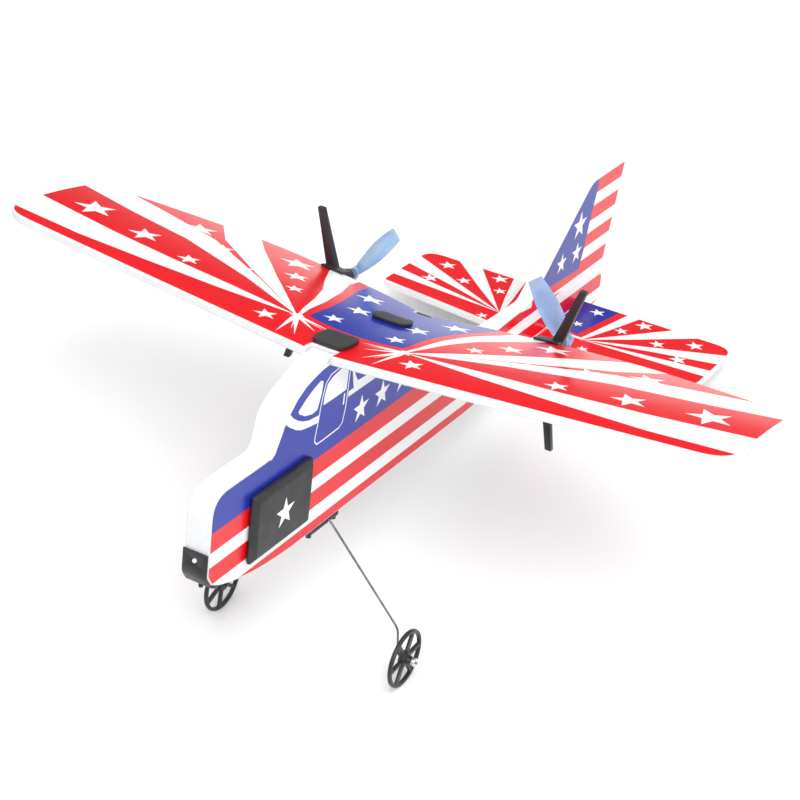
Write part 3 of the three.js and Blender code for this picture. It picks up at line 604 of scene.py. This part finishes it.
half_paint = [(ray_a, 1), (ray_b, 1), (ray_c, 1)]
half_paint += [(spike(tip, width), 0) for tip, width in SPIKES]
burst = [(V[0] + r * math.cos(a), V[1] + r * math.sin(a))
         for r, a in ((3.0 if i % 2 else 1.6, math.radians(30 * i)) for i in range(12))]
half_paint += [(burst, 0)]
STARS = [(133.6, 117.1, 9.0), (105, 111.3, 7.1), (79.6, 104.9, 5.0), (99.7, 142.6, 7.5), (80.5, 130.4, 5.5),
         (62.4, 118.0, 4.5), (57.6, 150.8, 7.8), (47.6, 133.6, 5.3), (39.6, 119.0, 4.0), (31.2, 84.6, 4.8)]
half_paint += [(star(*s), 0) for s in STARS]
BLUE_STARS = [(13.4, 105.1, 4.3), (12.9, 123.6, 5.2), (19.3, 143.8, 6.3)]
blue_paint = [(star(*s), 0) for s in BLUE_STARS]
wing_paint = [(front_red, 1)] + half_paint[:3] + [(mirror(p), n) for p, n in half_paint[:3]]
wing_paint += [(border, 1), (blue, 2)]
wing_paint += half_paint[3:] + [(mirror(p), n) for p, n in half_paint[3:]]
wing_paint += blue_paint + [(star(-x, y, r), 0) for x, y, r in BLUE_STARS]
wing_ccw = wing_fine if area(wing_fine) > 0 else wing_fine[::-1]
film_skin("wing_film_top", inset(wing_ccw, 0.85), WING, 1, wing_paint, grid=6.0)

# ---------- tailplane ----------
half_tail = trace((0, 256.5), (77.1, 265.4), ((78.6, 265.6), (78.8, 268)), (78.8, 300),
                  ((78.8, 309), (69.8, 309)), (0, 309))
TAIL_OUTLINE = resample(half_tail + mirror(half_tail)[1:-1], 2.2)
verts, faces, normals = foam_body("tail_sheet", TAIL_OUTLINE, TAIL, radius=0.7, grid=9.0)
tail_sheet = make_object("tail_sheet", verts, faces, [FOAM], None, normals)
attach(tail_sheet, "airframe")
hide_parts("tailplane")

T = (20.6, 270.6)
tail_front = [(-90, 250), (90, 250), (90, 276.4), (77.4, 274.4), T, (-T[0], T[1]), (-77.4, 274.4),
              (-90, 276.4)]
tail_a = [T, (77.3, 281.2), (92, 284), (92, 294), (77.3, 289.4), (50, 281)]
tail_b = [T, (78, 300.4), (92, 307.2), (85, 325), (66, 314), (61.6, 308.6), (40, 288)]
tail_c = [T, (49.7, 309.2), (54, 315), (33.5, 315), (32.4, 308.8), (26, 287)]
tail_border = [(19.6, 272.5), (22.8, 290), (26.4, 308.8), (28, 318), (-28, 318), (-26.4, 308.8), (-22.8, 290),
               (-19.6, 272.5)]
tail_blue = [(16.6, 274.5), (19.4, 292), (22.4, 309), (24, 318), (-24, 318), (-22.4, 309), (-19.4, 292),
             (-16.6, 274.5)]
TAIL_STARS = [(62.6, 281.7, 4.2), (25.1, 262.5, 2.9), (63.1, 300.0, 4.4), (49.1, 289.9, 3.7),
              (36.9, 303.3, 4.4), (30.9, 291.2, 3.4), (12.2, 284.5, 2.9), (14.2, 301.5, 3.9)]
tail_paint = [(tail_front, 1)]
for shape in (tail_a, tail_b, tail_c):
    tail_paint += [(shape, 1), (mirror(shape), 1)]
tail_paint += [(tail_border, 1), (tail_blue, 2)]
for x, y, r in TAIL_STARS:
    tail_paint += [(star(x, y, r), 0), (star(-x, y, r), 0)]
tail_ccw = TAIL_OUTLINE if area(TAIL_OUTLINE) > 0 else TAIL_OUTLINE[::-1]
film_skin("tail_film_top", inset(tail_ccw, 0.75), TAIL, 1, tail_paint, grid=10.0)

# ---------- carried-over CAD nodes ----------
LOOKS = {
    "nose_bumper": BLACK, "nose_lamp": LENS, "wing_clip_front": BLACK_SOFT, "wing_clip_rear": BLACK_SOFT,
    "wing_hook": BLACK, "battery_tray": BLACK, "battery_hatch": BLACK_SOFT,
    "battery_cell": FOIL, "receiver_board": BOARD_GREEN, "receiver_chip": BLACK,
    "charge_socket": SOCKET_WHITE, "switch_body": SWITCH_GREY, "switch_slider": BLACK, "gear_bar": BLACK,
    "gear_screw_front": WIRE_STEEL,
    "gear_screw_rear": WIRE_STEEL, "gear_wire": WIRE_STEEL}
for word in ("port", "starboard"):
    LOOKS.update({
        f"motor_mount_{word}": BLACK, f"motor_can_{word}": MOTOR_STEEL, f"motor_shaft_{word}": WIRE_STEEL,
        f"propeller_{word}": CLEAR_BLUE, f"propeller_cap_{word}": CLEAR_BLUE, f"motor_lead_{word}": RUBBER,
        f"wheel_{word}": BLACK, f"wheel_collar_{word}": CHROME})


def soften(obj, width):
    """Welds the facets, rounds the sharp edges a little and shades the round faces smoothly."""
    weld = obj.modifiers.new("weld", "WELD")
    weld.merge_threshold = 1e-6
    bevel = obj.modifiers.new("round", "BEVEL")
    bevel.width = width * MM
    bevel.segments = 2
    bevel.limit_method = "ANGLE"
    bevel.angle_limit = math.radians(35)
    bevel.harden_normals = True
    obj.data.polygons.foreach_set("use_smooth", [True] * len(obj.data.polygons))


EDGE_ROUND = {"gear_wire": 0, "motor_lead_port": 0, "motor_lead_starboard": 0, "propeller_port": 0.05,
              "propeller_starboard": 0.05, "wheel_port": 0.12, "wheel_starboard": 0.12,
              "receiver_chip": 0.08, "motor_shaft_port": 0.06, "motor_shaft_starboard": 0.06,
              "battery_cell": 0.5, "battery_hatch": 0.3}
for node, look in LOOKS.items():
    obj = NODES[node]
    obj.data.materials.clear()
    obj.data.materials.append(look)
    soften(obj, EDGE_ROUND.get(node, 0.15))

# ---------- the star printed on the hatch ----------
HATCH_FACE = 8.8
hatch_star = star(42.9, 22.9, 6.2, 90)
sheet = [(HATCH_FACE + off, y, z) for off in (-0.02, 0.05) for y, z in hatch_star]
star_faces = [tuple(range(10, 20)), tuple(reversed(range(10)))]
star_faces += [(i, (i + 1) % 10, 10 + (i + 1) % 10, 10 + i) for i in range(10)]
hatch_print = make_object("hatch_star", sheet, star_faces, [PRINT_WHITE], smooth=False)
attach(hatch_print, "hatch")

# ---------- studio ----------
def world_light():
    """White to the eye, a soft overhead glow on matt faces and a dark room with a high window in gloss."""
    world = bpy.data.worlds.new("studio")
    bpy.context.scene.world = world
    world.use_nodes = True
    tree = world.node_tree
    where = add(tree, "ShaderNodeTexCoord")
    height = add(tree, "ShaderNodeSeparateXYZ", {"Vector": (where, "Generated")})
    glow = add(tree, "ShaderNodeMapRange", {"Value": (height, "Z"), "From Min": 0.0, "From Max": 1.0,
                                            "To Min": 0.5, "To Max": 1.2})
    room = add(tree, "ShaderNodeMapRange", {"Value": (height, "Z"), "From Min": 0.27, "From Max": 0.4,
                                            "To Min": 0.08, "To Max": 1.7})
    path = add(tree, "ShaderNodeLightPath")
    seen = add(tree, "ShaderNodeMath", {0: (path, "Is Camera Ray"), 1: (path, "Is Transmission Ray")},
               operation="MAXIMUM")
    gloss = add(tree, "ShaderNodeMix", {"Factor": (path, "Is Glossy Ray"), "A": (glow, "Result"),
                                        "B": (room, "Result")})
    level = add(tree, "ShaderNodeMix", {"Factor": (seen, "Value"), "A": (gloss, "Result"), "B": 1.0})
    back = tree.nodes["Background"]
    back.inputs["Color"].default_value = (1, 1, 1, 1)
    tree.links.new(level.outputs["Result"], back.inputs["Strength"])


def area_light(name, place, aim, size, power):
    data = bpy.data.lights.new(name, "AREA")
    data.shape = "RECTANGLE"
    data.size, data.size_y = size
    data.energy = power
    lamp = bpy.data.objects.new(name, data)
    bpy.context.scene.collection.objects.link(lamp)
    lamp.location = place
    lamp.rotation_euler = (Vector(aim) - Vector(place)).to_track_quat("-Z", "Y").to_euler()


world_light()
area_light("key", (0.6, -0.5, 1.3), (0, 0, 0.05), (0.8, 0.8), 14)

floor_mesh = bpy.data.meshes.new("floor")
FLOOR_HALF = 0.9
floor_mesh.from_pydata([(FLOOR_HALF * a, FLOOR_HALF * b, 0) for a, b in ((-1, -1), (1, -1), (1, 1), (-1, 1))],
                       [], [(0, 1, 2, 3)])
floor = bpy.data.objects.new("floor", floor_mesh)
bpy.context.scene.collection.objects.link(floor)
paper, paper_tree, paper_bsdf = new_material("studio_floor")
paper_bsdf.inputs["Base Color"].default_value = linear("f4f4f4")
paper_bsdf.inputs["Roughness"].default_value = 0.9
floor_mesh.materials.append(paper)

# ---------- camera at the photograph's viewing angle ----------
CAMERA_AT = Vector((333.8, -524.0, 414.7)) * MM
RIGHT = Vector((0.86341, 0.49386, 0.10309))
FORWARD = Vector((-0.3976, 0.7919, -0.4637)).normalized()
LENS_MM = 95.64
up = RIGHT.cross(FORWARD).normalized()
axes = Matrix((RIGHT, up, -FORWARD)).transposed().to_4x4()
camera_data = bpy.data.cameras.new("camera")
camera_data.lens = LENS_MM
camera_data.sensor_width = 36
camera_data.clip_start = 0.01
camera = bpy.data.objects.new("camera", camera_data)
bpy.context.scene.collection.objects.link(camera)
camera.matrix_world = STAND @ (Matrix.Translation(CAMERA_AT) @ axes)
bpy.context.scene.camera = camera
bpy.context.scene.view_settings.view_transform = "Standard"
